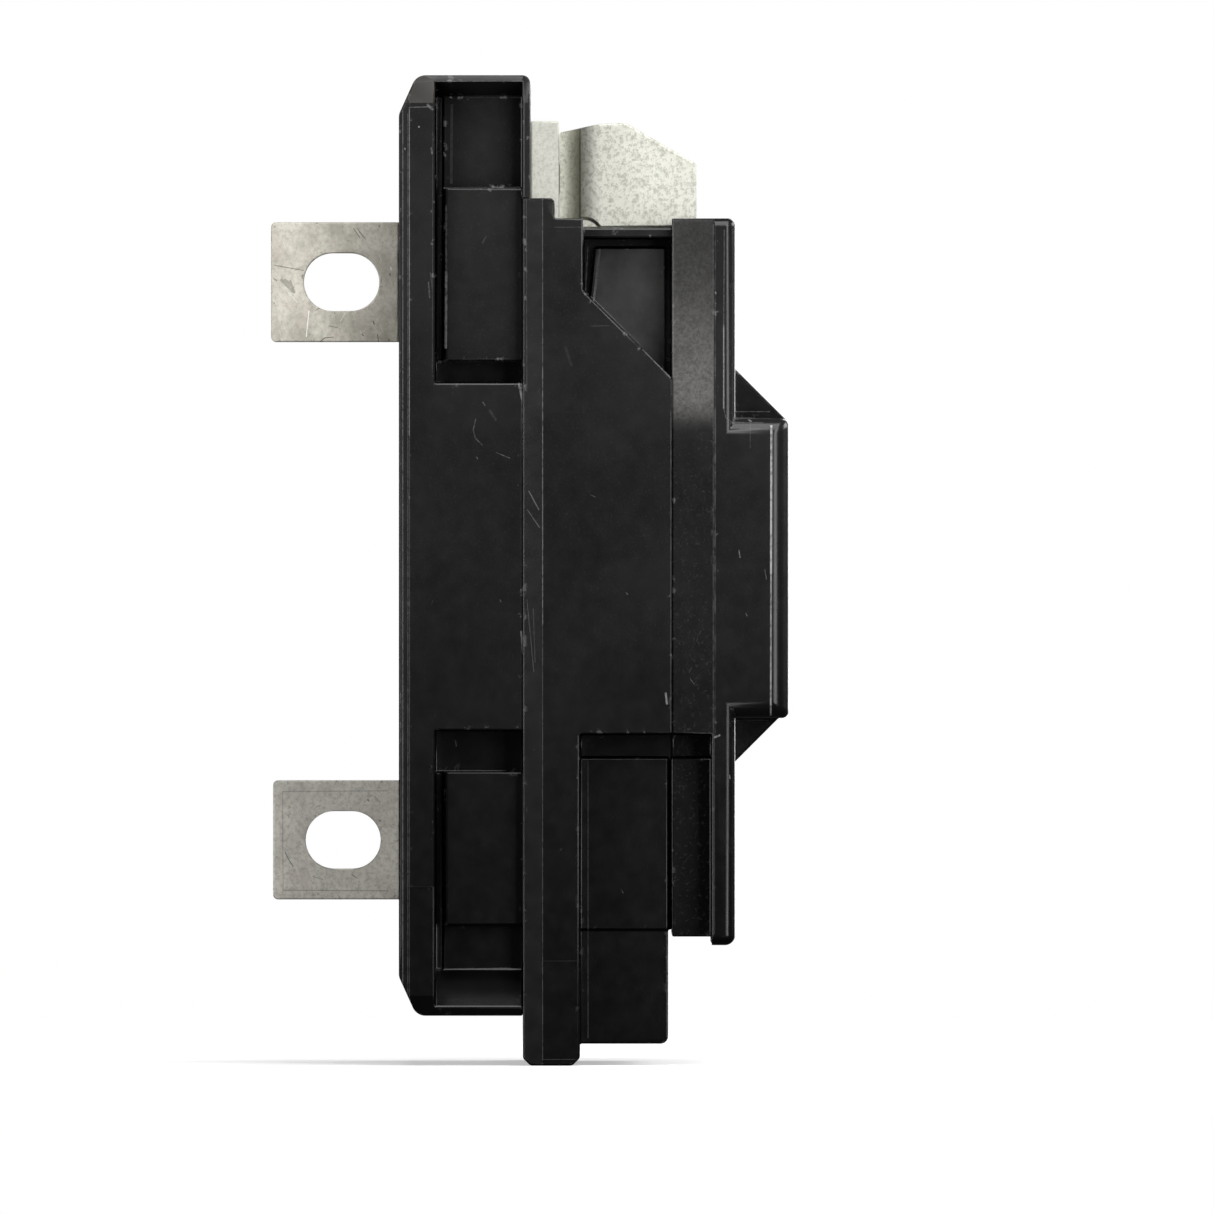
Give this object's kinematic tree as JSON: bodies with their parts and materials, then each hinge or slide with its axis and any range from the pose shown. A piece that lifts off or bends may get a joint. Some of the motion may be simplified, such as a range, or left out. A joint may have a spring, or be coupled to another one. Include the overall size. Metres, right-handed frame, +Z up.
{
  "type": "circuit breaker",
  "caption": "Moulded-case main circuit breaker with a rocking handle, bolt-on bus tabs at the rear, line lugs at the top and the whole switching and tripping mechanism inside.",
  "frame": {"origin": "on the rear mounting face, on the middle plane, half-way between the two bus slots", "axes": "+Z up towards the line lugs, -Y towards the handle, X across the poles"},
  "size_m": [0.1016, 0.0822, 0.157],
  "materials": {
    "black_phenolic": "black glass-filled thermoset moulding, satin with rubbed edges",
    "handle_plastic": "black moulded handle, satin",
    "inner_phenolic": "brown moulded phenolic, matt",
    "bus_metal": "tin-plated bus strap, dull, scratched",
    "lug_aluminium": "tin-plated extruded aluminium, speckled",
    "copper": "bare copper",
    "silver": "silver contact tip",
    "plated_steel": "zinc-plated steel",
    "spring_steel": "spring steel, oiled",
    "fibre": "vulcanised fibre board"
  },
  "bodies": {
    "breaker": {"rear_base": "black_phenolic", "middle_case": "black_phenolic", "front_cover": "black_phenolic", "cover_screws": "plated_steel", "lug_fixing_screws": "plated_steel", "calibration_screws": "plated_steel", "mechanism_frame": "plated_steel", "handle_pin": "plated_steel", "cradle_pin": "plated_steel", "operating_spring": "spring_steel", "trip_bar_spring": "spring_steel", "line_strap_left": "bus_metal", "load_strap_left": "bus_metal", "line_lug_left": "lug_aluminium", "magnet_yoke_left": "plated_steel", "bimetal_left": "plated_steel", "fixed_contact_left": "silver", "braid_left": "copper", "arc_chute_left": "fibre", "arc_plate_left_1": "plated_steel", "arc_plate_left_2": "plated_steel", "arc_plate_left_3": "plated_steel", "arc_plate_left_4": "plated_steel", "arc_plate_left_5": "plated_steel", "line_strap_right": "bus_metal", "load_strap_right": "bus_metal", "line_lug_right": "lug_aluminium", "magnet_yoke_right": "plated_steel", "bimetal_right": "plated_steel", "fixed_contact_right": "silver", "braid_right": "copper", "arc_chute_right": "fibre", "arc_plate_right_1": "plated_steel", "arc_plate_right_2": "plated_steel", "arc_plate_right_3": "plated_steel", "arc_plate_right_4": "plated_steel", "arc_plate_right_5": "plated_steel"},
    "handle": {"handle": "handle_plastic", "knee_pin": "plated_steel"},
    "toggle_links": {"toggle_link_left": "plated_steel", "toggle_link_right": "plated_steel"},
    "crossbar": {"crossbar": "inner_phenolic", "crank_pin": "plated_steel", "contact_arm_left": "copper", "contact_arm_right": "copper", "moving_contact_left": "silver", "moving_contact_right": "silver", "contact_spring_left": "spring_steel", "contact_spring_right": "spring_steel"},
    "cradle": {"cradle": "plated_steel"},
    "trip_bar": {"trip_bar": "inner_phenolic"},
    "armature_left": {"armature_left": "plated_steel"},
    "armature_right": {"armature_right": "plated_steel"},
    "lug_set_screw_left": {"lug_set_screw_left": "plated_steel"},
    "lug_set_screw_right": {"lug_set_screw_right": "plated_steel"}
  },
  "joints": [
    {"name": "handle_throw", "type": "hinge", "parent": "breaker", "child": "handle", "pos_m": [0, -0.038, -0.001], "axis": [1, 0, 0], "range_deg": [0, 36], "deforming": ["operating_spring"]},
    {"name": "toggle_link_turn", "type": "hinge", "parent": "handle", "child": "toggle_links", "pos_m": [0, -0.03268, 0.00273], "axis": [1, 0, 0], "range_deg": [-35.7, 0]},
    {"name": "contact_bar_turn", "type": "hinge", "parent": "breaker", "child": "crossbar", "pos_m": [0, -0.033, -0.0175], "axis": [1, 0, 0], "range_deg": [0, 19.3], "deforming": ["braid_left", "braid_right"]},
    {"name": "trip_bar_turn", "type": "hinge", "parent": "breaker", "child": "trip_bar", "pos_m": [0, -0.0325, -0.045], "axis": [1, 0, 0], "range_deg": [0, 12], "stiffness_Nm_per_rad": 0.02, "deforming": ["trip_bar_spring"]},
    {"name": "cradle_turn", "type": "hinge", "parent": "breaker", "child": "cradle", "pos_m": [0, -0.026, 0.016], "axis": [1, 0, 0], "range_deg": [0, 10]},
    {"name": "armature_pull_left", "type": "hinge", "parent": "breaker", "child": "armature_left", "pos_m": [-0.024, -0.0203, -0.056], "axis": [1, 0, 0], "range_deg": [-3.5, 0]},
    {"name": "armature_pull_right", "type": "hinge", "parent": "breaker", "child": "armature_right", "pos_m": [0.024, -0.0203, -0.056], "axis": [1, 0, 0], "range_deg": [-3.5, 0]},
    {"name": "lug_screw_travel_left", "type": "slide", "parent": "breaker", "child": "lug_set_screw_left", "axis": [0, 1, 0], "range_m": [0, 0.0035]},
    {"name": "lug_screw_travel_right", "type": "slide", "parent": "breaker", "child": "lug_set_screw_right", "axis": [0, 1, 0], "range_m": [0, 0.0035]}
  ],
  "couplings": [
    {"joint": "toggle_link_turn", "follows": "handle_throw", "ratio": -0.9876},
    {"joint": "contact_bar_turn", "follows": "handle_throw", "ratio": 0.5331},
    {"joint": "cradle_turn", "follows": "trip_bar_turn", "ratio": 0.8333},
    {"joint": "armature_pull_left", "follows": "trip_bar_turn", "ratio": -0.2916},
    {"joint": "armature_pull_right", "follows": "trip_bar_turn", "ratio": -0.2916}
  ]
}
